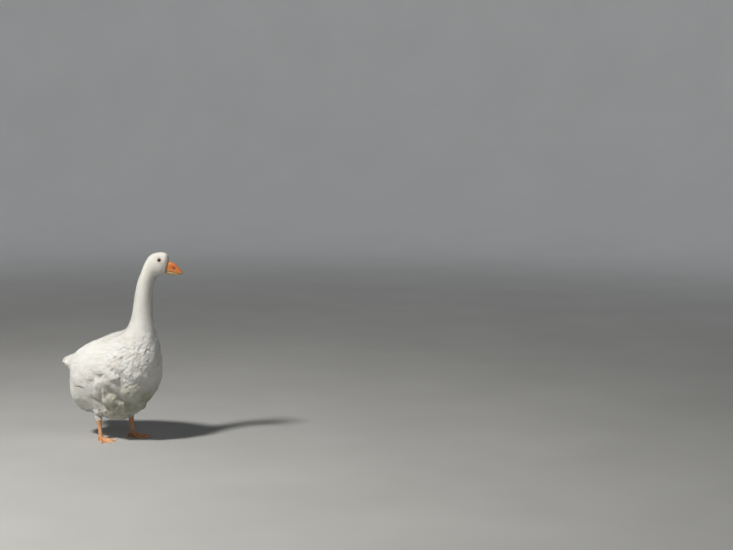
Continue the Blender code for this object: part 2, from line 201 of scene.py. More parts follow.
def normals_of(mesh):
    return read(mesh.vertex_normals, "vector", 3).astype(float)


def edges_of(mesh):
    return read(mesh.edges, "vertices", 2, np.int32)


def move_points(mesh, points):
    mesh.vertices.foreach_set("co", points.astype(np.float32).ravel())
    mesh.update()


def paint(mesh, name, values):
    """Gives the mesh a named field of one number for each vertex, which the materials read."""
    layer = mesh.attributes.new(name, "FLOAT", "POINT")
    layer.data.foreach_set("value", values.astype(np.float32))


def averaged(values, edges, rounds, share=0.5):
    """Values at the vertices, each blended with the mean of its neighbours. share may vary by vertex."""
    count = np.bincount(edges.ravel(), minlength=len(values)).astype(float)[:, None]
    share = np.broadcast_to(share, len(values))[:, None]
    values = values.copy()
    for _ in range(rounds):
        total = np.stack([
            np.bincount(edges[:, 0], values[edges[:, 1], k], len(values))
            + np.bincount(edges[:, 1], values[edges[:, 0], k], len(values))
            for k in range(values.shape[1])
        ], 1)
        values += share * (total / np.maximum(count, 1) - values)
    return values


def evaluated(obj):
    graph = bpy.context.evaluated_depsgraph_get()
    return bpy.data.meshes.new_from_object(obj.evaluated_get(graph))


# ---- materials

BARB_GAP = 0.0009         # from one barb to the next
SHAFT_WIDTH = 0.0009
WHITE = (0.93, 0.925, 0.9)
CREAM = (0.89, 0.865, 0.8)
# Olive grey for the lower breast and belly: partly soiling, partly painted shade.
SOILED_AND_SHADED = (0.42, 0.41, 0.29)
LEG = (0.64, 0.33, 0.16)
LEG_PALE = (0.72, 0.49, 0.32)
ORANGE = (0.6, 0.27, 0.105)
RED_ORANGE = (0.5, 0.15, 0.065)
PALE_BILL = (0.62, 0.46, 0.25)
PALEST_BILL = (0.66, 0.52, 0.34)


class Look:
    """A material under construction. A value is a number, a colour or another node's output."""

    def __init__(self, name):
        self.material = bpy.data.materials.new(name)
        self.material.use_nodes = True
        self.tree = self.material.node_tree

    def feed(self, sockets, values):
        for key, value in values.items():
            if isinstance(value, bpy.types.NodeSocket):
                self.tree.links.new(value, sockets[key])
            elif sockets[key].type == "RGBA":
                sockets[key].default_value = (*value, 1.0)
            else:
                sockets[key].default_value = value

    def node(self, kind, output, inputs, **settings):
        made = self.tree.nodes.new("ShaderNode" + kind)
        for key, value in settings.items():
            setattr(made, key, value)
        self.feed(made.inputs, inputs)
        return made.outputs[output]

    def finished(self, inputs):
        self.feed(self.tree.nodes["Principled BSDF"].inputs, inputs)
        return self.material

    def place(self):
        return self.node("TexCoord", "Object", {})

    def attribute(self, name):
        return self.node("Attribute", "Fac", {}, attribute_name=name)

    def noise(self, scale, detail=3.0, rough=0.55):
        values = {"Vector": self.place(), "Scale": scale, "Detail": detail, "Roughness": rough}
        return self.node("TexNoise", "Fac", values)

    def spread(self, value, low, high, out_low=0.0, out_high=1.0):
        """Takes low to out_low and high to out_high, with a soft step between."""
        values = {"Value": value, "From Min": low, "From Max": high, "To Min": out_low, "To Max": out_high}
        return self.node("MapRange", "Result", values, interpolation_type="SMOOTHSTEP")

    def speckle(self, scale, low=0.0, high=1.0, detail=3.0):
        return self.spread(self.noise(scale, detail), 0.3, 0.7, low, high)

    def math(self, how, first, second=0.0):
        return self.node("Math", 0, {0: first, 1: second}, operation=how)

    def times(self, first, second):
        return self.math("MULTIPLY", first, second)

    def mixed(self, share, first, second, how="MIX"):
        values = {0: share, 6: first, 7: second}
        return self.node("Mix", 2, values, data_type="RGBA", blend_type=how)

    def ramp(self, value, stops):
        colour = self.node("ValToRGB", "Color", {"Fac": value})
        elements = colour.node.color_ramp.elements
        while len(elements) < len(stops):
            elements.new(0.5)
        for element, (place, shade) in zip(elements, stops):
            element.position = place
            element.color = (*shade, 1.0)
        return colour

    def bump(self, height, strength, distance):
        values = {"Height": height, "Strength": strength, "Distance": distance}
        return self.node("Bump", "Normal", values)

    def plumage(self):
        """White, with a little cream, and an olive wash low on the breast and belly, strongest at the front:
        partly soiling, partly painted shade.
        """
        clean = self.ramp(self.noise(22.0, 4.0), [(0.35, WHITE), (0.72, CREAM)])
        split = self.node("SeparateXYZ", 0, {0: self.place()}).node.outputs
        # The olive wash grows low down and towards the front, where shade falls: painted shade as well as
        # soiling.
        low = self.spread(split["Z"], 0.33, 0.15)
        front = self.spread(split["X"], -0.02, 0.08, 0.15, 1.0)
        patch = self.spread(self.noise(13.0, 4.0, 0.6), 0.30, 0.70, 0.35, 1.0)
        return self.mixed(self.times(self.times(self.times(low, front), patch), 0.95), clean, SOILED_AND_SHADED)


def feather_material():
    """White vanes with slanting barbs and a fine shaft, both from the mesh's own values in metres."""
    look = Look("white_feather")
    shaft = look.spread(look.attribute("shaft"), 0.0001, SHAFT_WIDTH, 1.0, 0.0)
    wave = look.math("SINE", look.times(look.attribute("barb"), 2 * pi / BARB_GAP))
    barbs = look.spread(wave, -1.0, 1.0)
    tone = look.spread(look.attribute("tone"), 0.0, 1.0, 0.0, 0.09)
    colour = look.mixed(tone, look.plumage(), (0.70, 0.68, 0.62), "MULTIPLY")
    # The grooves between barbs are painted up to a tenth darker: painted shade.
    groove = look.spread(barbs, 0.0, 0.6, 0.10, 0.0)
    colour = look.mixed(groove, colour, (0.62, 0.60, 0.55), "MULTIPLY")
    fluff = look.times(look.noise(900.0, 2.0), 0.8)
    height = look.math("ADD", look.math("ADD", barbs, look.times(shaft, 1.5)), fluff)
    return look.finished({
        "Base Color": look.mixed(look.times(shaft, 0.25), colour, (0.95, 0.92, 0.84)),
        "Roughness": look.speckle(90.0, 0.55, 0.75),
        "Subsurface Weight": 0.25, "Subsurface Radius": (1.0, 0.85, 0.7), "Subsurface Scale": 0.006,
        "Specular IOR Level": 0.2, "Sheen Weight": 0.2, "Sheen Roughness": 0.4,
        "Normal": look.bump(height, 0.45, 0.00022),
    })


def skin_material():
    look = Look("skin")
    warm = look.ramp(look.noise(60.0, 4.0), [(0.3, LEG), (0.7, LEG_PALE)])
    colour = look.mixed(look.attribute("bare"), look.plumage(), warm)
    seam = look.spread(look.attribute("scute"), 0.0, 1.0, 0.0, 0.55)
    return look.finished({
        "Base Color": look.mixed(seam, colour, (0.55, 0.22, 0.10), "MULTIPLY"),
        "Roughness": look.speckle(150.0, 0.42, 0.62),
        "Normal": look.bump(look.noise(700.0, 2.0), 0.3, 0.0004),
    })


def horn_material(name, deep, middle, pale):
    """Bill horn, coloured by the mesh's own values: from deep at its saddle to pale at the tip and edge."""
    look = Look(name)
    base = look.ramp(look.attribute("shade"), [(0.0, deep), (0.45, middle), (1.0, pale)])
    mottle = look.spread(look.noise(140.0, 4.0), 0.35, 0.75, 0.0, 0.35)
    colour = look.mixed(mottle, base, (0.90, 0.62, 0.42), "MULTIPLY")
    return look.finished({
        # The mesh's dark field, in the nostril and along the gape, is painted shade.
        "Base Color": look.mixed(look.attribute("dark"), colour, (0.10, 0.035, 0.02)),
        "Roughness": look.speckle(220.0, 0.33, 0.50),
        "Coat Weight": 0.15, "Coat Roughness": 0.25,
        "Normal": look.bump(look.noise(900.0, 3.0), 0.25, 0.0003),
    })


def plain_material(name, colours, scale, roughness, coat=0.0):
    look = Look(name)
    return look.finished({
        "Base Color": look.ramp(look.noise(scale, 4.0), [(0.3, colours[0]), (0.7, colours[1])]),
        "Roughness": look.speckle(scale * 2, roughness, roughness * 1.3),
        "Coat Weight": coat, "Coat Roughness": 0.03,
        "Normal": look.bump(look.noise(scale * 3, 2.0), 0.1, 0.0002),
    })


def eye_material():
    """A dark pupil and rim and a blue-grey iris, by the mesh's own angle from the eye's axis in radians."""
    look = Look("dark_eye")
    ring = look.attribute("ring")
    fibres = look.speckle(900.0)
    iris = look.mixed(fibres, (0.035, 0.055, 0.085), (0.075, 0.105, 0.145))
    colour = look.mixed(look.spread(ring, 0.335, 0.365), (0.004, 0.004, 0.005), iris)
    return look.finished({
        "Base Color": look.mixed(look.spread(ring, 0.66, 0.72), colour, (0.015, 0.013, 0.012)),
        "Roughness": look.spread(fibres, 0.0, 1.0, 0.12, 0.18),
        "Coat Weight": 1.0, "Coat Roughness": 0.02,
    })


# ---- camera, light and floor

CAMERA_AT = Vector((5.530, -5.119, 1.520))
CAMERA_WAY = Vector((-0.6293, 0.7771, 0.0)).normalized()
CAMERA_DIP = radians(6.196413)  # how far the camera looks down
LENS_MM = 85.95
SENSOR_MM = 36.0
EXPOSURE = -0.78
WORLD_COLOUR = (0.86, 0.89, 0.94, 1.0)
WORLD_STRENGTH = 0.06
BODY_MIDDLE = Vector((0, 0, 0.35))
# Each lamp's place from the body's middle (to the camera's right, away from the camera, up), power in
# watts, size and colour.
LAMPS = (
    ("key", (-2.10, -2.6, 4.3), 385.0, 0.7, (1.0, 0.975, 0.93)),
    ("fill", (2.4, -3.0, 4.2), 30.0, 2.0, (0.94, 0.97, 1.0)),
    ("back", (1.5, 4.0, 3.0), 16.0, 2.5, (0.95, 0.97, 1.0)),
)
FLOOR_DARK = (0.46, 0.46, 0.452)
FLOOR_PALE = (0.49, 0.49, 0.482)
FLOOR_RADIUS = 8.6        # the studio's floor is a disc that curves up into a round wall
COVE = 3.0
WALL_TOP = 9.0


def look_at(obj, target):
    obj.rotation_euler = (target - obj.location).to_track_quat("-Z", "Y").to_euler()


def build_stage():
    scene = bpy.context.scene
    camera = linked("camera", bpy.data.cameras.new("camera"))
    camera.data.lens = LENS_MM
    camera.data.sensor_width = SENSOR_MM
    camera.data.clip_end = 200.0
    camera.location = CAMERA_AT
    aim = CAMERA_WAY * cos(CAMERA_DIP) - Vector((0, 0, sin(CAMERA_DIP)))
    look_at(camera, CAMERA_AT + aim)
    scene.camera = camera

    right = Vector((CAMERA_WAY.y, -CAMERA_WAY.x, 0))
    for name, (sideways, away, up), energy, size, tint in LAMPS:
        lamp = linked(name, bpy.data.lights.new(name, "AREA"))
        lamp.data.energy = energy
        lamp.data.size = size
        lamp.data.color = tint
        lamp.location = BODY_MIDDLE + right * sideways + CAMERA_WAY * away + Vector((0, 0, up))
        look_at(lamp, BODY_MIDDLE)

    world = bpy.data.worlds.new("studio")
    world.use_nodes = True
    background = world.node_tree.nodes["Background"]
    background.inputs["Color"].default_value = WORLD_COLOUR
    background.inputs["Strength"].default_value = WORLD_STRENGTH
    scene.world = world
    scene.view_settings.view_transform = "Standard"
    scene.view_settings.look = "High Contrast"
    scene.view_settings.exposure = EXPOSURE

    look = Look("stage")
    # The floor and the wall glow, more the further they lie from the middle: painted light that keeps the far
    # backdrop pale, and adds a little fill.
    away = look.node("VectorMath", "Value", {0: look.place()}, operation="LENGTH")
    made = look.finished({
        "Base Color": look.ramp(look.noise(1.5, 2.0), [(0.3, FLOOR_DARK), (0.7, FLOOR_PALE)]),
        "Roughness": 0.9,
        "Emission Strength": look.spread(away, 2.5, 10.0, 0.0, 0.24),
        "Emission Color": (0.95, 0.97, 1.0),
    })
    profile = [(0.0, 0.0), (FLOOR_RADIUS * 0.5, 0.0), (FLOOR_RADIUS, 0.0)]
    for a in np.linspace(0.1, pi / 2, 12):
        profile.append((FLOOR_RADIUS + COVE * sin(a), COVE - COVE * cos(a)))
    profile.append((FLOOR_RADIUS + COVE, WALL_TOP))
    turns = np.linspace(0, 2 * pi, 96, endpoint=False)
    points = [(out * cos(a), out * sin(a), up) for out, up in profile for a in turns]
    floor = mesh_object("floor", points, tube_faces(len(profile), len(turns))[:, ::-1], made)


# ---- places on the body

def head_frame(points):
    """Points in the head's own frame: forward of the neck's upright line, left of its middle, and height."""
    forward, left = rotated(points[:, 0] - NECK_X, points[:, 1], -HEAD_TURN)
    return np.stack([forward, left, points[:, 2]], 1)


def from_head_frame(points):
    x, y = rotated(points[:, 0], points[:, 1], HEAD_TURN)
    return np.stack([NECK_X + x, y, points[:, 2]], 1)


EYE_BOXES = {side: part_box("eye_" + side) for side in SIDE_SIGN}
EYES = {side: np.array((low + high) / 2) for side, (low, high) in EYE_BOXES.items()}
EYE_RADIUS = (EYE_BOXES["left"][1] - EYE_BOXES["left"][0]).x / 2


def eye_way(side):
    """The way an eye looks: outward, a little forward and up."""
    x, y = rotated(0.2, SIDE_SIGN[side], HEAD_TURN)
    return unit(np.array([x, y, 0.1]))


def eye_distance(points):
    return np.minimum(*[
        norm(points - (EYES[side] + eye_way(side) * EYE_RADIUS), axis=1) for side in SIDE_SIGN
    ])


def leg_distance(points):
    """How far points lie from the nearer leg's upright line."""
    shank_x = np.where(points[:, 1] > 0, FOOT_X["left"], FOOT_X["right"]) - 0.01
    return np.hypot(points[:, 0] - shank_x, np.abs(points[:, 1]) - STANCE)


def bareness(points):
    """1 on the bare legs and feet, 0 where there are feathers."""
    z = points[:, 2]
    near_leg = smooth(0.026, 0.021, leg_distance(points))
    return smooth(BARE_TOP + 0.004, BARE_TOP - 0.002, z) * np.maximum(near_leg, smooth(0.045, 0.04, z))


def shank_cuff(points):
    """1 on the small feathers round the top of each shank."""
    return smooth(0.15, 0.118, points[:, 2]) * smooth(0.04, 0.028, leg_distance(points))


def coat_depth(points):
    """How far the skin lies inside the outline that the feather tips make."""
    x, y, z = points.T
    depth = 0.006 - 0.0038 * smooth(0.4, 0.56, z) - 0.0008 * smooth(0.67, 0.73, z)
    depth = depth - 0.0045 * smooth(-0.235, -0.29, x)
    depth = depth * (1 - 0.45 * smooth(0.155, 0.12, z) * smooth(0.05, 0.06, np.abs(y)))
    depth = depth * (1 - 0.55 * smooth(0.085, 0.105, head_frame(points)[:, 0]) * (z > HEAD_FLOOR))
    depth = depth * (1 - 0.6 * smooth(0.014, 0.008, eye_distance(points)))
    return depth * (1 - bareness(points))


# Soft folds in the lower coat, for both sides: lines through x, y, z, each with its width and depth.
FOLDS = (
    (((-0.012, 0.123, 0.186), (0.008, 0.119, 0.172), (0.028, 0.111, 0.16), (0.05, 0.099, 0.15),
      (0.078, 0.066, 0.126)), 0.01, 0.022),
    (((-0.185, 0.098, 0.246), (-0.15, 0.122, 0.244)), 0.006, 0.0045),
    (((0.045, 0.1, 0.148), (0.075, 0.108, 0.164), (0.108, 0.098, 0.186)), 0.008, 0.006),
)
# Soft bulges, and one hollow, between them: middle, radius and rise.
BULGES = (
    ((0.085, 0.105, 0.222), 0.03, -0.007), ((-0.07, 0.118, 0.185), 0.055, 0.0075),
    ((-0.15, 0.085, 0.18), 0.045, 0.005), ((0.058, 0.11, 0.182), 0.027, 0.007),
    ((0.085, 0.08, 0.15), 0.028, 0.005),
)


def line_distance(points, line):
    """How far points lie from a line through several places."""
    least = np.full(len(points), np.inf)
    for a, b in zip(np.array(line[:-1]), np.array(line[1:])):
        share = np.clip(((points - a) @ (b - a)) / ((b - a) @ (b - a)), 0, 1)
        least = np.minimum(least, norm(points - a - share[:, None] * (b - a), axis=1))
    return least


def feathered(points):
    """1 where the body has room for lobes, 0 on the legs and near the hocks."""
    return (1 - bareness(points)) * smooth(0.108, 0.135, points[:, 2])


def lumpiness(points):
    """How strongly the coat breaks into soft lobes: on the lower breast, belly and flank, not the back."""
    x, _, z = points.T
    side = smooth(-0.055, 0.055, x) * smooth(0.345, 0.285, z)
    low = 0.55 * smooth(0.24, 0.17, z) * smooth(-0.05, 0.03, x)
    return np.maximum(side * (1 - 0.8 * smooth(0.12, 0.175, x)), low) * feathered(points)


def mottle(points):
    """Where the coat is roughened in small tufts: the breast's sides and the neck's root."""
    x, _, z = points.T
    return smooth(0.04, 0.1, x) * smooth(0.54, 0.44, z) * smooth(0.22, 0.3, z) * feathered(points)


def relief(points):
    """How far the plumage stands out (over 0) or sinks (under 0) in lobes and folds."""
    folded = points.copy()
    folded[:, 1] = np.abs(folded[:, 1])
    wavy = folded + 0.006 * np.stack([waves(points, 0.05, seed) for seed in (21, 22, 23)], 1)
    out = 0.0088 * waves(points, 0.046, 13) + 0.005 * waves(points, 0.027, 15)
    out -= 0.0058 * creases(points, 0.05, 11, 0.45) + 0.003 * creases(points, 0.027, 12, 0.5)
    tufts = 0.0014 * waves(points, 0.02, 16) - 0.0015 * creases(points, 0.022, 17, 0.35)
    out = lumpiness(points) * out + mottle(points) * tufts
    room = feathered(points)
    for line, width, depth in FOLDS:
        out -= room * depth * bump_at(line_distance(wavy, line), 0, width)
    for middle, radius, rise in BULGES:
        out += room * rise * bump_at(norm(folded - np.array(middle), axis=1), 0, radius)
    return out


def furrows(points):
    """The neck's slanting ridges of feathers, 1 on a ridge and -1 between two."""
    around, along = unwrap(points).T
    neck = smooth(0.44, 0.54, points[:, 2]) * smooth(0.735, 0.69, points[:, 2])
    ridge = np.cos(2 * pi * (around * 20 + along * 5 + 0.18 * waves(points, 0.05, 18)))
    return neck * ridge * (0.65 + 0.35 * waves(points, 0.05, 14))


def joins(points):
    """1 where the thighs leave the flanks and the wings' front edges meet the breast, to be smoothed."""
    x, y, z = points.T
    y = np.abs(y)
    thigh = smooth(0.118, 0.14, z) * smooth(0.24, 0.205, z) * smooth(0.05, 0.065, y) \
        * smooth(-0.13, -0.095, x) * smooth(0.06, 0.03, x)
    wrist = smooth(0.24, 0.275, z) * smooth(0.48, 0.44, z) * smooth(0.03, 0.05, y) \
        * smooth(0.035, 0.065, x) * smooth(0.175, 0.15, x)
    return np.maximum(thigh, wrist)


# ---- skin

VOXEL = 0.0014
JOIN = 0.0009             # each solid grows by this much, so that the remesh closes the cuts between them
FINE_BELOW = 0.115        # the legs and the head keep the remesh's full detail
THINNED = 0.26            # the share of all the faces that is left
LEAST_HEIGHT = 0.0002     # nothing of the skin dips below this height
FURROW_HEIGHT = 0.0007
TAIL_ROOT = -0.275        # the tail's flesh is drawn in behind this x
TAIL_TIP = -0.31
TAIL_HEIGHT = 0.3195      # the tail's flesh thins towards this height


def thin_tail(points):
    """Draws the tail's own flesh in and thins it, so that its feathers make the tip."""
    x, y, z = points.T
    thinner = 0.5 * smooth(TAIL_ROOT, TAIL_TIP, x)
    return np.stack([np.maximum(x, (x + TAIL_ROOT) / 2), y, z + (TAIL_HEIGHT - z) * thinner], 1)


def scutes(points):
    """The scales of the legs: how far each point rises, and 1 in the seams between scales."""
    x, y, z = points.T
    left = y > 0
    dx = x - np.where(left, FOOT_X["left"], FOOT_X["right"])
    dy = y - np.where(left, STANCE, -STANCE)
    forward, sideways = rotated(dx, dy, -np.where(left, TOE_OUT, -TOE_OUT))
    on_shank = smooth(0.017, 0.026, z) > 0.5
    across = np.where(on_shank, np.arctan2(dy, dx + 0.008) * 0.009, sideways)
    size = 0.0042
    along = np.where(on_shank, z, forward) / size
    row = np.floor(along)
    a = (across / size + 0.5 * (row % 2)) % 1 - 0.5
    b = along - row - 0.5
    seam = smooth(0.72, 1.0, np.maximum(np.abs(a), np.abs(b)) * 2)
    return 0.00022 - 0.0005 * seam, seam


def build_skin(look):
    """One skin round all the flesh, with the coat's lobes, folds and furrows and the legs' scales."""
    points, faces, count = [], [], 0
    for node in FLESH:
        shape = bmesh.new()
        shape.from_mesh(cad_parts[node].data)
        bmesh.ops.remove_doubles(shape, verts=shape.verts, dist=1e-5)
        shape.normal_update()
        shape.verts.index_update()
        points += [tuple(v.co + v.normal * JOIN) for v in shape.verts]
        faces += [tuple(v.index + count for v in f.verts) for f in shape.faces]
        count = len(points)
        shape.free()
    rough = mesh_object("skin_rough", points, faces)
    remesh = rough.modifiers.new("whole", "REMESH")
    remesh.mode = "VOXEL"
    remesh.voxel_size = VOXEL
    fine = linked("skin_fine", evaluated(rough))
    height = points_of(fine.data)[:, 2]
    detailed = (height < FINE_BELOW) | (height > HEAD_FLOOR)
    group = fine.vertex_groups.new(name="detail")
    group.add(np.nonzero(detailed)[0].tolist(), 1.0, "REPLACE")
    thin = fine.modifiers.new("thin", "DECIMATE")
    thin.ratio = THINNED
    thin.vertex_group = "detail"
    thin.invert_vertex_group = True
    skin = linked("skin", evaluated(fine))
    for used in (rough, fine):
        bpy.data.objects.remove(used)

    mesh = skin.data
    edges = edges_of(mesh)
    place = points_of(mesh)
    legs = bareness(place)
    place = averaged(place, edges, 6, 0.5 * (1 - 0.85 * legs))
    place = averaged(place, edges, 70, 0.5 * joins(place))
    move_points(mesh, place)
    outward = unit(averaged(normals_of(mesh), edges, 10, 1 - 0.6 * legs))
    place = place - outward * (coat_depth(place) + JOIN * 0.6)[:, None]
    place = thin_tail(averaged(place, edges, 8, 0.5 * (1 - legs)))
    place = place + outward * (relief(place) + FURROW_HEIGHT * furrows(place))[:, None]
    leg_scale, seams = scutes(place)
    place = place + outward * (leg_scale * legs)[:, None]
    place[:, 2] = np.maximum(place[:, 2], LEAST_HEIGHT)
    move_points(mesh, place)
    paint(mesh, "bare", legs)
    paint(mesh, "scute", seams * legs)
    mesh.materials.append(look)
    mesh.shade_smooth()
    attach(skin, "root")
    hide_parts(*FLESH)
    return skin


# ---- feathers

TRIES = 4.5               # random points tried for each square of one spacing


class Surface:
    """The skin, with quick nearest points and smoothed normals."""

    def __init__(self, obj):
        mesh = obj.data
        self.points = points_of(mesh)
        mesh.calc_loop_triangles()
        self.triangles = read(mesh.loop_triangles, "vertices", 3, np.int32)
        smooth_normals = unit(averaged(normals_of(mesh), edges_of(mesh), 4))
        self.normals = unit(smooth_normals[self.triangles].mean(1))
        self.tree = BVHTree.FromPolygons(self.points.tolist(), self.triangles.tolist())

    def nearest(self, points):
        found = [self.tree.find_nearest(Vector(p)) for p in points]
        return np.array([f[0] for f in found]), self.normals[np.array([f[2] for f in found])]

    def seen(self, start, end):
        """Where the way from start through end first meets the skin, or the nearest place to end."""
        start, end = Vector(start), Vector(end)
        hit = self.tree.ray_cast(start, end - start)[0]
        return np.array(self.tree.find_nearest(end)[0] if hit is None else hit)

    def grow(self, keep, spacing, seed):
        """Random feather roots where the skin passes keep, each at least its spacing from those before it."""
        draw = np.random.default_rng(seed)
        corners = self.points[self.triangles]
        middle = corners.mean(1)
        one, two = corners[:, 1] - corners[:, 0], corners[:, 2] - corners[:, 0]
        area = norm(np.cross(one, two), axis=1) / 2 * keep(middle) / spacing(middle) ** 2
        count = int(TRIES * area.sum())
        chosen = draw.choice(len(area), count, p=area / area.sum())
        a, b = draw.random(count), draw.random(count)
        a, b = np.where(a + b > 1, 1 - a, a), np.where(a + b > 1, 1 - b, b)
        spots = corners[chosen, 0] + a[:, None] * one[chosen] + b[:, None] * two[chosen]
        gaps = spacing(spots)
        tree = KDTree(count)
        for index, spot in enumerate(spots):
            tree.insert(spot, index)
        tree.balance()
        alive = np.ones(count, bool)
        kept = []
        for index in range(count):
            if alive[index]:
                kept.append(index)
                for _, other, _ in tree.find_range(spots[index], gaps[index]):
                    alive[other] = False
        return spots[kept]

    def laid_paths(self, roots, length, steps, yaw):
        """Feathers' middle lines along the coat's lie: places, normals and directions from root to tip."""
        place, normal = self.nearest(roots)
        way = flat_on(normal, lie(place))
        way = way * np.cos(yaw)[:, None] + np.cross(normal, way) * np.sin(yaw)[:, None]
        stations = [(place, normal, way)]
        step = (length / steps)[:, None]
        for _ in range(steps):
            reach = place + way * step
            place, new_normal = self.nearest(reach)
            past = norm(place - reach, axis=1, keepdims=True) > 0.45 * step
            place = np.where(past, reach, place)
            new_normal = np.where(past, normal, new_normal)
            way = flat_on(new_normal, unit(unit(place - stations[-1][0]) + 0.15 * lie(place)))
            normal = unit(normal * 0.4 + new_normal * 0.6)
            stations.append((place, normal, way))
        return [np.stack(values, 1) for values in zip(*stations)]

    def drawn_paths(self, roots, tips, steps, clear):
        """Middle lines from root to tip over the skin, lying clear of it, and their lengths."""
        laid = [self.nearest(roots + (tips - roots) * f) for f in np.linspace(0, 1, steps + 1)]
        places, normals = (np.stack(values, 1) for values in zip(*laid))
        places = places + normals * clear[:, None, None]
        length = norm(np.diff(places, axis=1), axis=2).sum(1)
        return (places, normals, flat_on(normals, unit(np.gradient(places, axis=1)))), length


def vane_faces(rows, columns):
    """Faces of a closed thin vane: a grid on top, and an inner grid below it that shares the rim."""
    top = np.arange(rows * columns).reshape(rows, columns)
    below = top.copy()
    below[1:-1, 1:-1] = rows * columns + np.arange((rows - 2) * (columns - 2)).reshape(rows - 2, columns - 2)
    faces = [
        np.stack([grid[:-1, :-1], grid[:-1, 1:], grid[1:, 1:], grid[1:, :-1]], -1) for grid in (top, below)
    ]
    return np.stack([faces[0], faces[1][..., [0, 3, 2, 1]]], 2).reshape(-1, 4)


BARB_SLANT = 0.8          # how far the barbs sweep towards the tip, for each step away from the shaft
LONGEST = 1.12            # no barb reaches further than this share of its feather's length
UNEVEN = 0.00008          # the vane's random unevenness
SHOULDER = 0.6            # a vane is widest at this share of its length


class Coat:
    """Feathers of one kind, from their lines on the skin and their sizes.

    A vane's height over its line goes from root_height to tip_height, and lift raises the tips at random.
    It narrows towards the root to the share waist of its width. round_tip and tip_power round its tip and
    fray makes it ragged. camber lowers its edges and ridge raises its shaft. bend and roll lean and tilt it.
    barb_scale makes its barbs finer.
    """

    def __init__(self, paths, length, width, tip_height, seed, rows, columns=9, *, round_tip, camber, fray,
                 lift, thick, tip_power=2, root_height=-0.0006, waist=0.35, bend=0.04, ridge=0.0, roll=0.03,
                 barb_scale=1.0):
        draw = np.random.default_rng(seed)
        count, stations = paths[0].shape[:2]
        one, whole = (count, 1, 1), (count, rows, columns)
        length, width, tip_height = (v.reshape(one) for v in (length, width, tip_height))
        r = np.linspace(0, 1, rows)[:, None]
        c = np.linspace(-1, 1, columns)[None, :]
        reach = r * (1 - round_tip * np.abs(c) ** tip_power * r)
        reach = reach * (1 + fray * draw.normal(size=(count, 1, columns)) * r**3)
        reach = np.clip(reach, 0, LONGEST)
        wide = waist + (1 - waist) * np.sin(np.minimum(r / SHOULDER, 1) * pi / 2)
        wide = wide * (1 - 0.15 * smooth(SHOULDER, 1.0, r))
        at = np.minimum(reach, 1.0) * (stations - 1)
        low = np.minimum(at.astype(int), stations - 2)
        part = (at - low)[..., None]
        pick = np.arange(count).reshape(one)
        centre, up, along = (v[pick, low] * (1 - part) + v[pick, low + 1] * part for v in paths)
        up, along = unit(up), unit(along)
        half = width / 2 * wide * c
        half = half * (1 + 0.8 * fray * draw.normal(size=whole) * (np.abs(c) == 1))
        off_shaft = np.abs(half)
        lean = bend * draw.normal(size=one) * reach**2 * length
        height = root_height + (tip_height - root_height) * (1 - np.maximum(1 - reach, 0) ** 1.5)
        height = height + lift * np.abs(draw.normal(size=one)) * reach**3
        height = height - camber * off_shaft * (0.5 + 0.5 * np.abs(c)) + ridge * (c == 0)
        tilt = roll * draw.normal(size=one)
        height = height + tilt * half + UNEVEN * draw.normal(size=whole) * r
        over = np.maximum(reach - 1.0, 0) * length
        across = unit(np.cross(up, along))
        top = centre + across * (half + lean)[..., None] + up * height[..., None] + along * over[..., None]
        below = top - up * thick
        barb = barb_scale * (reach * length - BARB_SLANT * off_shaft)
        tone = np.broadcast_to((draw.random(count) ** 2).reshape(one), whole)

        def closed(above, inner):
            """Values of the top's points, then of the inner points below them."""
            inner = inner[:, 1:-1, 1:-1]
            return np.concatenate([v.reshape(len(v), -1, *v.shape[3:]) for v in (above, inner)], 1)

        self.points = closed(top, below)
        self.tone, self.shaft, self.barb = (closed(v, v) for v in (tone, off_shaft, barb))
        grid = np.stack(np.broadcast_arrays(c * 0.5, r - 0.5), -1)[None]
        self.patch = closed(grid, grid)[0]
        self.faces = vane_faces(rows, columns)
        self.roots = paths[0][:, 0]

    def part(self, mask):
        piece = object.__new__(Coat)
        piece.faces, piece.patch = self.faces, self.patch
        for name in ("points", "roots", "tone", "shaft", "barb"):
            setattr(piece, name, getattr(self, name)[mask])
        return piece


RIM_ANGLE = radians(100.0)
PATCH = 0.003             # the width of a feather's patch on the skin's flat map


def coat_piece(name, coats, look):
    """Joins feathers into one piece, each feather a small patch of the flat map at its root's place."""
    spots = unwrap(np.concatenate([coat.roots for coat in coats]))
    low, high = spots[:, 1].min(), spots[:, 1].max()
    spots[:, 1] = 0.02 + 0.96 * (spots[:, 1] - low) / (high - low)
    spots[:, 0] = 0.01 + 0.98 * spots[:, 0]
    faces, corners, feathers, vertices = [], [], 0, 0
    for coat in coats:
        count, each = coat.points.shape[:2]
        faces.append((coat.faces + vertices + np.arange(count)[:, None, None] * each).reshape(-1, 4))
        patches = spots[feathers:feathers + count, None] + coat.patch * PATCH
        corners.append(patches[:, coat.faces.ravel()].reshape(-1, 2))
        feathers += count
        vertices += count * each
    points = np.concatenate([coat.points.reshape(-1, 3) for coat in coats])
    obj = mesh_object(name, points, np.concatenate(faces), look)
    obj.data.set_sharp_from_angle(angle=RIM_ANGLE)
    layer = obj.data.uv_layers.new(name="OFBake")
    layer.data.foreach_set("uv", np.concatenate(corners).astype(np.float32).ravel())
    for field in ("tone", "shaft", "barb"):
        paint(obj.data, field, np.concatenate([getattr(coat, field).ravel() for coat in coats]))
    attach(obj, "root")


# ---- contour feathers

EYE_BARE = 0.0068         # no feather is rooted this near the front of an eye
LAST_CONTOUR = -0.283     # behind this x the tail's fan covers the flesh
# Contour feathers by the spacing of their roots: least and most spacing, rows, columns, fray, roundness of
# the tip, how much finer their barbs are, and their lift where the coat is smooth and where it's ruffled.
CONTOUR_KINDS = (
    (0.0, 0.0025, 5, 3, 0.05, 0.42, 1.7, 0.00015, 0.00015),
    (0.0025, 0.0052, 5, 5, 0.05, 0.32, 1.7, 0.00015, 0.00015),
    (0.0052, 1.0, 7, 9, 0.06, 0.32, 1.0, 0.0002, 0.001),
)


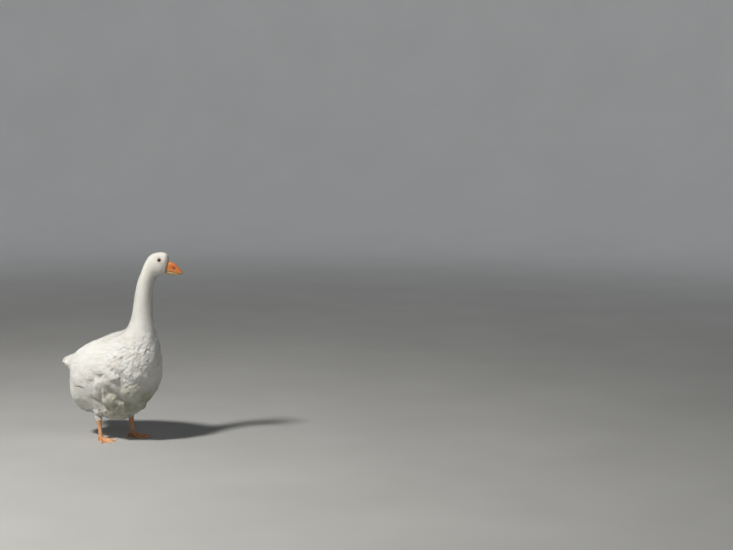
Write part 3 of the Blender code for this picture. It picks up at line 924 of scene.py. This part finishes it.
def in_wing(points, margin=0.0):
    """Whether points are on the folded wings: the back and upper flank, from the wrist to the wing's tip."""
    x, y, z = points.T
    lower = np.interp(x, [-0.3, -0.225, -0.165, -0.09, 0.0, 0.08, 0.125],
                      [0.33, 0.285, 0.25, 0.226, 0.228, 0.285, 0.37])
    front = 0.128 - 0.25 * np.maximum(z - 0.4, 0)
    return (z > lower - margin) & (x < front + margin) & (z < 0.5) & (x > -0.236) \
        & (np.abs(y) > 0.012 - margin)


def on_face(points):
    """Whether points are where the bill is rooted, so that no feather grows there."""
    forward, _, z = head_frame(points).T
    return (forward > 0.1005 + 0.224 * (z - 0.729)) & (z > HEAD_FLOOR)


def near_bill(points, low, high):
    forward, _, z = head_frame(points).T
    return smooth(low, high, forward) * (z > HEAD_FLOOR)


def contour_spacing(points):
    z = points[:, 2]
    gap = 0.0066 - 0.0034 * smooth(0.4, 0.58, z) - 0.0013 * smooth(0.66, 0.745, z)
    gap = gap - 0.0003 * near_bill(points, 0.075, 0.095)
    return gap * (1 - 0.45 * shank_cuff(points))


def contour_keep(points):
    covered = in_wing(points) | on_face(points) | (points[:, 0] < LAST_CONTOUR)
    return ~(covered | (bareness(points) > 0.5) | (eye_distance(points) < EYE_BARE))


def contour_coats(surface):
    """The small, the middling and the large contour feathers."""
    roots = surface.grow(contour_keep, contour_spacing, 31)
    draw = np.random.default_rng(32)
    gap = contour_spacing(roots)
    x, _, z = roots.T
    count = len(roots)
    head, neck = smooth(0.685, 0.745, z), smooth(0.42, 0.56, z)
    length = gap * (5.6 - 1.6 * head) * draw.uniform(0.85, 1.15, count)
    width = gap * (2.9 - 0.8 * neck - 0.4 * head) * draw.uniform(0.88, 1.12, count)
    width = width * (1 - 0.3 * shank_cuff(roots))
    length = length * (1 - 0.45 * smooth(0.016, 0.008, eye_distance(roots)))
    length = length * (1 - 0.35 * near_bill(roots, 0.08, 0.1))
    length = length * (1 - 0.42 * smooth(-0.235, -0.285, x))
    ruffle = np.maximum(lumpiness(roots), mottle(roots))
    paths = surface.laid_paths(roots, length, 4, draw.normal(size=count) * (0.08 + 0.1 * ruffle))
    tip = np.maximum(coat_depth(paths[0][:, 2]), 0.0009) * draw.uniform(1.02, 1.22, count)
    tip = tip + 0.0005 * furrows(roots)
    made = []
    for low, high, rows, columns, fray, round_tip, barb_scale, calm, ruffled in CONTOUR_KINDS:
        chosen = (gap >= low) & (gap < high)
        made.append(Coat(
            [values[chosen] for values in paths], length[chosen], width[chosen], tip[chosen],
            33 + rows * columns, rows, columns, round_tip=round_tip, camber=0.03, fray=fray, thick=0.0003,
            lift=calm + (ruffled - calm) * ruffle[chosen].reshape(-1, 1, 1), barb_scale=barb_scale,
        ))
    return made


# ---- wings and tail

# The folded wing's two rows of long feathers: first root, last root, first tip and last tip as x and z,
# then width, and first and last clearance.
QUILL_ROWS = (
    ((-0.075, 0.262), (-0.125, 0.392), (-0.205, 0.262), (-0.27, 0.35), 0.032, 0.004, 0.0076),
    ((-0.018, 0.262), (-0.065, 0.425), (-0.125, 0.248), (-0.215, 0.38), 0.031, 0.0056, 0.0088),
)
QUILLS_IN_ROW = 12
PRIMARIES = 5
TAIL_PAIRS = 8


def covert_spacing(points):
    gaps = (0.012, 0.0165, 0.015, 0.012, 0.0085)
    return np.interp(points[:, 0], (-0.25, -0.16, -0.08, 0.02, 0.1), gaps)


def covert_keep(points):
    """Coverts are rooted over the front of the wing, so that their tips lie on the long quills behind."""
    x, _, z = points.T
    return in_wing(points, 0.004) & (x > np.interp(z, [0.25, 0.385], [-0.025, -0.105]))


def covert_coat(surface, seed):
    roots = surface.grow(covert_keep, covert_spacing, seed)
    draw = np.random.default_rng(seed + 1)
    count = len(roots)
    gap = covert_spacing(roots)
    length = gap * 4.6 * draw.uniform(0.9, 1.12, count)
    width = gap * 2.15 * draw.uniform(0.92, 1.08, count)
    paths = surface.laid_paths(roots, length, 6, draw.normal(size=count) * 0.05)
    tip = 0.006 * draw.uniform(0.92, 1.12, count)
    return Coat(paths, length, width, tip, seed + 2, 9, round_tip=0.26, camber=0.02, fray=0.025,
                lift=0.0003, ridge=0.0001, thick=0.00035, roll=0.02)


def quill_coats(surface, side, seed):
    """The folded wing's two rows of long feathers."""
    coats = []
    draw = np.random.default_rng(seed)
    f = np.linspace(0, 1, QUILLS_IN_ROW)[:, None]
    for row, (root_a, root_b, tip_a, tip_b, width, clear_a, clear_b) in enumerate(QUILL_ROWS):
        roots, tips = (
            np.array([surface.seen((x, side * 0.5, z), (x, 0, z)) for x, z in first * (1 - f) + last * f])
            for first, last in np.array([(root_a, root_b), (tip_a, tip_b)])
        )
        clear = clear_a + (clear_b - clear_a) * f[:, 0]
        paths, length = surface.drawn_paths(roots, tips, 10, clear * 0.2)
        coats.append(Coat(
            paths, length, width * draw.uniform(0.95, 1.05, QUILLS_IN_ROW), clear, seed + row, 16,
            round_tip=0.2, tip_power=3, camber=0.05, fray=0.012, lift=0.0006, ridge=0.0006, thick=0.0006,
            bend=0.01, waist=0.55,
        ))
    return coats


def primary_coat(surface, side, seed):
    """The tips of the wing's longest feathers, folded together over the rump and ending above the tail."""
    f = np.linspace(0, 1, PRIMARIES)
    roots, tips = (
        np.array([surface.seen((x, y, 0.62), (x, y, 0.32)) for x, y in zip(xs, side * ys)])
        for xs, ys in ((-0.15 - 0.01 * f, 0.06 - 0.026 * f), (-0.272 - 0.022 * f, 0.036 - 0.026 * f))
    )
    paths, length = surface.drawn_paths(roots, tips, 14, 0.0002 + 0.0001 * f)
    return Coat(paths, length, np.full(PRIMARIES, 0.02), 0.0062 + 0.002 * f, seed, 20,
                round_tip=0.34, camber=0.06, fray=0.008, lift=0.0003, ridge=0.0006, thick=0.0007, bend=0.006,
                waist=0.7, root_height=0.0004)


def tail_coat():
    """The tail's fan: broad round-tipped feathers that stand free of the skin, the middle pair on top."""
    order = np.repeat(np.arange(TAIL_PAIRS), 2)
    across = np.tile([-1.0, 1.0], TAIL_PAIRS) * (order + 0.5) / TAIL_PAIRS
    out, same = np.abs(across), np.ones(len(order))
    roots = np.stack([-0.225 * same, across * 0.034, 0.3385 - 0.012 * out**1.5 - 0.0008 * order], 1)
    tips = np.stack([-0.321 + 0.03 * out**2, across * 0.05, 0.3255 - 0.012 * out**1.6 - 0.0006 * order], 1)
    f = np.linspace(0, 1, 9)[:, None]
    places = roots[:, None] + (tips - roots)[:, None] * f
    places[:, :, 2:] += 0.0015 * np.sin(pi * f)
    ways = unit(np.gradient(places, axis=1))
    up = np.zeros_like(places)
    up[..., 1] = np.clip(places[..., 1] * 7.0, -0.6, 0.6)
    up[..., 2] = 1.0
    length = norm(tips - roots, axis=1)
    return Coat((places, flat_on(ways, up), ways), length, 0.023 * same, 0.001 * same, 81, 20, round_tip=0.2,
                tip_power=4, camber=0.05, fray=0.01, lift=0.0005, ridge=0.0007, thick=0.0007, bend=0.01,
                waist=0.6, root_height=0.0)


def build_coat(look, surface):
    fine, medium, large = contour_coats(surface)
    coat_piece("coat_head", [fine], look)
    thigh = medium.roots[:, 2] < 0.3
    for side, sign in SIDE_SIGN.items():
        half = ~thigh & (head_frame(medium.roots)[:, 1] * sign > 0)
        coat_piece("coat_neck_" + side, [medium.part(half)], look)
    coat_piece("coat_thighs", [medium.part(thigh)], look)
    x, y, z = large.roots.T
    left = y > 0
    breast = (x > 0.06) | (z > 0.46)
    rear = ~breast & (x < -0.16)
    belly = ~(breast | rear) & (z < 0.19)
    flank = ~(breast | rear | belly)
    for name, mask in (
        ("coat_breast_left", breast & left), ("coat_breast_right", breast & ~left),
        ("coat_rear", rear), ("coat_belly", belly),
        ("coat_flank_left", flank & left), ("coat_flank_right", flank & ~left),
    ):
        coat_piece(name, [large.part(mask)], look)
    coverts = covert_coat(surface, 51)
    for side, quill_seed, primary_seed in (("left", 61, 91), ("right", 71, 95)):
        sign = SIDE_SIGN[side]
        coat_piece("coverts_" + side, [coverts.part(coverts.roots[:, 1] * sign > 0)], look)
        quills = quill_coats(surface, sign, quill_seed) + [primary_coat(surface, sign, primary_seed)]
        coat_piece("quills_" + side, quills, look)
    coat_piece("tail_fan", [tail_coat()], look)


# ---- bill, eyes, lids and claws

def closed_rings(name, rings, look, **fields):
    """One closed mesh through equal rings, with a middle point at each end."""
    rows, around = rings.shape[:2]
    points = np.concatenate([rings.reshape(-1, 3), [rings[0].mean(0), rings[-1].mean(0)]])
    first, middle = np.arange(around), np.full(around, rows * around)
    last = first + middle - around
    caps = np.stack([np.roll(first, -1), first, middle, last, np.roll(last, -1), middle + 1], 1)
    obj = mesh_object(name, points, [*tube_faces(rows, around), *caps.reshape(-1, 3)], look)
    shape = bmesh.new()
    shape.from_mesh(obj.data)
    bmesh.ops.recalc_face_normals(shape, faces=shape.faces)
    shape.to_mesh(obj.data)
    shape.free()
    for field, values in fields.items():
        paint(obj.data, field, np.concatenate([values.ravel(), [values[0].mean(), values[-1].mean()]]))
    return obj


def curve_through(points, t):
    """The value at each t of a smooth curve that passes through points at t = 0, 1, 2 and so on."""
    padded = np.concatenate([[2 * points[0] - points[1]], points, [2 * points[-1] - points[-2]]])
    i = np.clip(t.astype(int), 0, len(points) - 2)
    f = (t - i)[:, None]
    p0, p1, p2, p3 = padded[i], padded[i + 1], padded[i + 2], padded[i + 3]
    m1, m2 = (p2 - p0) / 2, (p3 - p1) / 2
    return ((2 * f**3 - 3 * f**2 + 1) * p1 + (f**3 - 2 * f**2 + f) * m1
            + (3 * f**2 - 2 * f**3) * p2 + (f**3 - f**2) * m2)


# Forward of the neck's line and height of the bill's ridge, cutting edge and keel, and half its width.
BILL = np.array([
    (0.1128, 0.7815, 0.1044, 0.744, 0.1013, 0.73, 0.015),
    (0.127, 0.7795, 0.116, 0.7415, 0.113, 0.727, 0.0147),
    (0.141, 0.772, 0.13, 0.7385, 0.127, 0.7252, 0.0141),
    (0.1535, 0.7605, 0.143, 0.7355, 0.141, 0.7245, 0.0133),
    (0.164, 0.7485, 0.155, 0.733, 0.153, 0.7242, 0.0122),
    (0.1715, 0.738, 0.165, 0.7302, 0.161, 0.7247, 0.0096),
    (0.176, 0.729, 0.1725, 0.7265, 0.165, 0.7252, 0.0048),
])
BILL_ROWS, BILL_AROUND = 90, 72
TEETH, RIBS = 30, 26      # ridges along the upper and the lower cutting edge


def build_bill():
    angle = np.linspace(0, 2 * pi, BILL_AROUND, endpoint=False)[None]
    rise, out = np.cos(angle), np.sin(angle)
    at_edge = np.abs(out) > 0.75
    for name, last, roof in (("bill_upper", 6.0, 1), ("bill_lower", 5.0, -1)):
        u = np.linspace(0, 1, BILL_ROWS) ** 0.9
        ridge_f, ridge_z, edge_f, edge_z, keel_f, keel_z, half = curve_through(BILL, u * last).T[:, :, None]
        u = u[:, None]
        top_f, top_z = (ridge_f, ridge_z) if roof > 0 else (keel_f, keel_z)
        base_z = edge_z + 0.0012 * roof
        share = np.where(rise > 0, np.abs(rise) ** 0.9, -0.02 * np.abs(rise))
        width = half * np.sign(out) * np.abs(out) ** 0.8 * (1.0 if roof > 0 else 0.86)
        forward = edge_f + (top_f - edge_f) * share
        height = base_z + (top_z - base_z) * share
        if roof > 0:
            slot = np.exp(-(((u - 0.4) / 0.085) ** 2 + ((share - 0.52) / 0.1) ** 2) ** 2) * (share > 0.15)
            rim = np.exp(-(((u - 0.4) / 0.115) ** 2 + ((share - 0.52) / 0.16) ** 2) ** 2) - slot
            nail = smooth(0.8, 0.83, u - 0.02 * np.abs(out)) * (share > 0.05)
            lip = bump_at(share, 0.13, 0.05) * (rise > 0)
            wrinkle = np.sin(u * 210 + 3 * share) * smooth(0.16, 0.0, u)
            teeth = np.abs(np.sin(u * pi * TEETH)) * bump_at(share, 0, 0.05) * (u > 0.1) * (u < 0.85)
            # dark paints the nostril's inside and a line along the upper bill's cutting edge nearly black:
            # painted shade in the hole and in the gap between the bills.
            dark = np.clip(1.3 * slot ** 2 - 0.1, 0, 1) + 0.5 * bump_at(share, 0, 0.03) * (rise > 0)
            push = -0.003 * slot + 0.0004 * rim + 0.00045 * nail - 0.0003 * lip + 0.00012 * wrinkle
            height = height - 0.0009 * teeth * at_edge
            shade = 0.45 - 0.36 * bump_at(u, 0.36, 0.26) * bump_at(share, 0.55, 0.35) \
                + 0.35 * smooth(0.74, 0.86, u) + 0.3 * smooth(0.22, 0.02, share) \
                + 0.15 * smooth(0.06, 0.0, u)
            look = horn_material("orange_horn", RED_ORANGE, ORANGE, PALE_BILL)
        else:
            groove = bump_at(np.abs(out), 0, 0.2) * (rise > 0) * (1 - u)
            ribs = np.abs(np.sin(u * pi * RIBS)) * bump_at(share, 0, 0.08) * (u > 0.1)
            dark = np.zeros_like(width)
            push = -0.0007 * groove
            height = height + 0.0004 * ribs * at_edge
            shade = 0.3 + 0.55 * u + 0.25 * smooth(0.3, 0.0, share)
            look = horn_material("pale_horn", ORANGE, PALE_BILL, PALEST_BILL)
        sideways = unit(np.stack(np.broadcast_arrays(0.0, out, 0.6 * rise * roof), -1))
        points = np.stack([forward, width, height], -1) + sideways * push[..., None]
        rings = from_head_frame(points.reshape(-1, 3)).reshape(points.shape)
        shade, dark = np.clip(shade, 0, 1), np.clip(dark, 0, 1)
        obj = closed_rings(name + "_horn", rings, look, shade=shade, dark=dark)
        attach(obj, "root")
        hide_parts(name)


EYE_SUNK = 0.0008         # the ball sits this much deeper than its solid, inside the lids
# The lid's cross-section: how far from the eye's axis, and how far forward of 0.7 of the ball's radius.
LID_PROFILE = (
    (0.0063, -0.0012), (0.0061, -0.0002), (0.0064, 0.0005), (0.0069, 0.0005), (0.0073, -0.0001),
    (0.0079, -0.0012), (0.0086, -0.0028), (0.0082, -0.0042), (0.007, -0.0042),
)


def build_eyes():
    look = eye_material()
    lid_look = plain_material("eyelid", ((0.7, 0.4, 0.24), (0.76, 0.54, 0.4)), 300.0, 0.5)
    around = 48
    turn = np.linspace(0, 2 * pi, around, endpoint=False)[:, None]
    theta = np.linspace(0.02, pi - 0.05, 44)[:, None, None]
    radius = EYE_RADIUS * (1 + 0.045 * bump_at(theta, 0, 0.45))
    tilt = 1 - 0.06 * np.sin(turn) ** 2
    ripple = 1 + 0.01 * np.sin(11 * turn + 1.0)
    for side in SIDE_SIGN:
        way = eye_way(side)
        level = unit(np.cross(UP, way))
        upright = np.cross(way, level)
        centre = EYES[side] - way * EYE_SUNK
        rings = centre + way * radius * np.cos(theta) \
            + (level * np.cos(turn) + upright * np.sin(turn)) * radius * np.sin(theta)
        ball = closed_rings("eyeball_" + side, rings, look, ring=np.repeat(theta[..., 0], around, 1))
        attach(ball, "root")
        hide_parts("eye_" + side)

        rings = [
            centre + (level * np.cos(turn) + upright * np.sin(turn) * tilt) * distance * ripple
            + way * (EYE_RADIUS * 0.7 + proud)
            for distance, proud in LID_PROFILE
        ]
        faces = tube_faces(len(LID_PROFILE), around, closed=True)
        lid = mesh_object("eyelid_" + side, np.concatenate(rings), faces, lid_look)
        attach(lid, "root")


# Each toe's turn inward from its foot's own line, its length, and the radius of its claw.
TOES = (
    ("outer", -33.0, 0.078, 0.0027), ("middle", 0.0, 0.09, 0.0029), ("inner", 31.0, 0.072, 0.0027),
    ("hind", 158.0, 0.026, 0.002),
)
CLAW_LENGTH = 0.0105


def build_claws():
    look = plain_material("claw_horn", ((0.62, 0.47, 0.36), (0.76, 0.62, 0.5)), 500.0, 0.35, 0.2)
    turn = np.linspace(0, 2 * pi, 14, endpoint=False)[:, None]
    f = np.linspace(0, 1, 16)[:, None, None]
    for side, sign in SIDE_SIGN.items():
        for toe, degrees, length, radius in TOES:
            heading = -sign * (radians(degrees) - TOE_OUT)
            ahead = np.array([cos(heading), sin(heading), 0.0])
            start = np.array([FOOT_X[side], sign * STANCE, 0.0]) + ahead * (length + 0.0008 - CLAW_LENGTH)
            size = radius * (1 - f**1.6) ** 0.75 + 0.0002
            height = np.maximum(0.0036 * (1 - 0.8 * f**1.5), size)
            rings = start + ahead * CLAW_LENGTH * f + UP * height \
                + np.cross(UP, ahead) * np.cos(turn) * size * 0.9 + UP * np.sin(turn) * size * 0.95
            claw = closed_rings("claw_" + toe + "_" + side, rings, look)
            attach(claw, "root")


build_stage()
skin = build_skin(skin_material())
build_coat(feather_material(), Surface(skin))
build_bill()
build_eyes()
build_claws()
